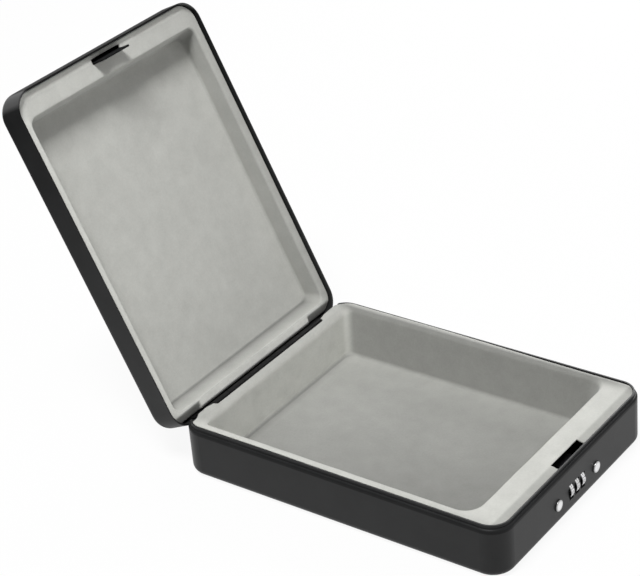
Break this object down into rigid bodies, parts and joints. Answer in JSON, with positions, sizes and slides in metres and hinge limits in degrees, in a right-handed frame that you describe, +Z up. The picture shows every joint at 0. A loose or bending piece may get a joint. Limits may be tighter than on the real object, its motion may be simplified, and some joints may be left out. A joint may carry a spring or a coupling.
{
  "type": "combination lock box",
  "caption": "Slim rectangular steel lock box with a hinged lid, light grey flocked liners, number-wheel combination lock and push-button latch on the front wall.",
  "frame": {"origin": "centre of the base's flat underside", "axes": "+Z up, +Y towards the rear hinge, the lock on the front wall faces -Y, +X to the right seen from the front"},
  "size_m": [0.18, 0.3614, 0.2449],
  "materials": {
    "powder_coat_black": "fine satin black powder coat",
    "flocked_liner": "light grey flock on a moulded liner",
    "bare_steel": "plain plated steel",
    "bright_metal": "bright plated metal",
    "cam_brass": "plain brass"
  },
  "bodies": {
    "base": {"base_shell": "powder_coat_black", "base_liner": "flocked_liner", "hinge_leaf_base": "powder_coat_black", "hinge_pin": "bare_steel", "lock_frame": "bare_steel", "lock_cover": "bare_steel", "lock_studs": "bare_steel", "lock_nuts": "bare_steel", "dial_spindle": "bare_steel", "spindle_clips": "bare_steel", "detent_spring": "bare_steel", "return_spring_left": "bare_steel", "return_spring_right": "bare_steel"},
    "lid": {"lid_shell": "powder_coat_black", "lid_liner": "flocked_liner", "lid_hook": "powder_coat_black", "hinge_leaf_lid": "powder_coat_black"},
    "release": {"release_plate": "bare_steel", "button_left": "bright_metal", "button_right": "bright_metal"},
    "dial_1": {"dial_wheel_1": "bright_metal", "dial_cam_1": "cam_brass"},
    "dial_2": {"dial_wheel_2": "bright_metal", "dial_cam_2": "cam_brass"},
    "dial_3": {"dial_wheel_3": "bright_metal", "dial_cam_3": "cam_brass"}
  },
  "joints": [
    {"name": "lid_hinge", "type": "hinge", "parent": "base", "child": "lid", "pos_m": [0, 0.118, 0.0318], "axis": [1, 0, 0], "range_deg": [0, 115.66]},
    {"name": "button_slide", "type": "slide", "parent": "base", "child": "release", "axis": [0, 1, 0], "range_m": [0, 0.002], "stiffness_N_per_m": 600, "deforming": ["return_spring_left", "return_spring_right"]},
    {"name": "dial_1_turn", "type": "hinge", "parent": "base", "child": "dial_1", "pos_m": [-0.0071, -0.1142, 0.015], "axis": [1, 0, 0], "continuous": true},
    {"name": "dial_2_turn", "type": "hinge", "parent": "base", "child": "dial_2", "pos_m": [0, -0.1142, 0.015], "axis": [1, 0, 0], "continuous": true},
    {"name": "dial_3_turn", "type": "hinge", "parent": "base", "child": "dial_3", "pos_m": [0.0071, -0.1142, 0.015], "axis": [1, 0, 0], "continuous": true}
  ]
}
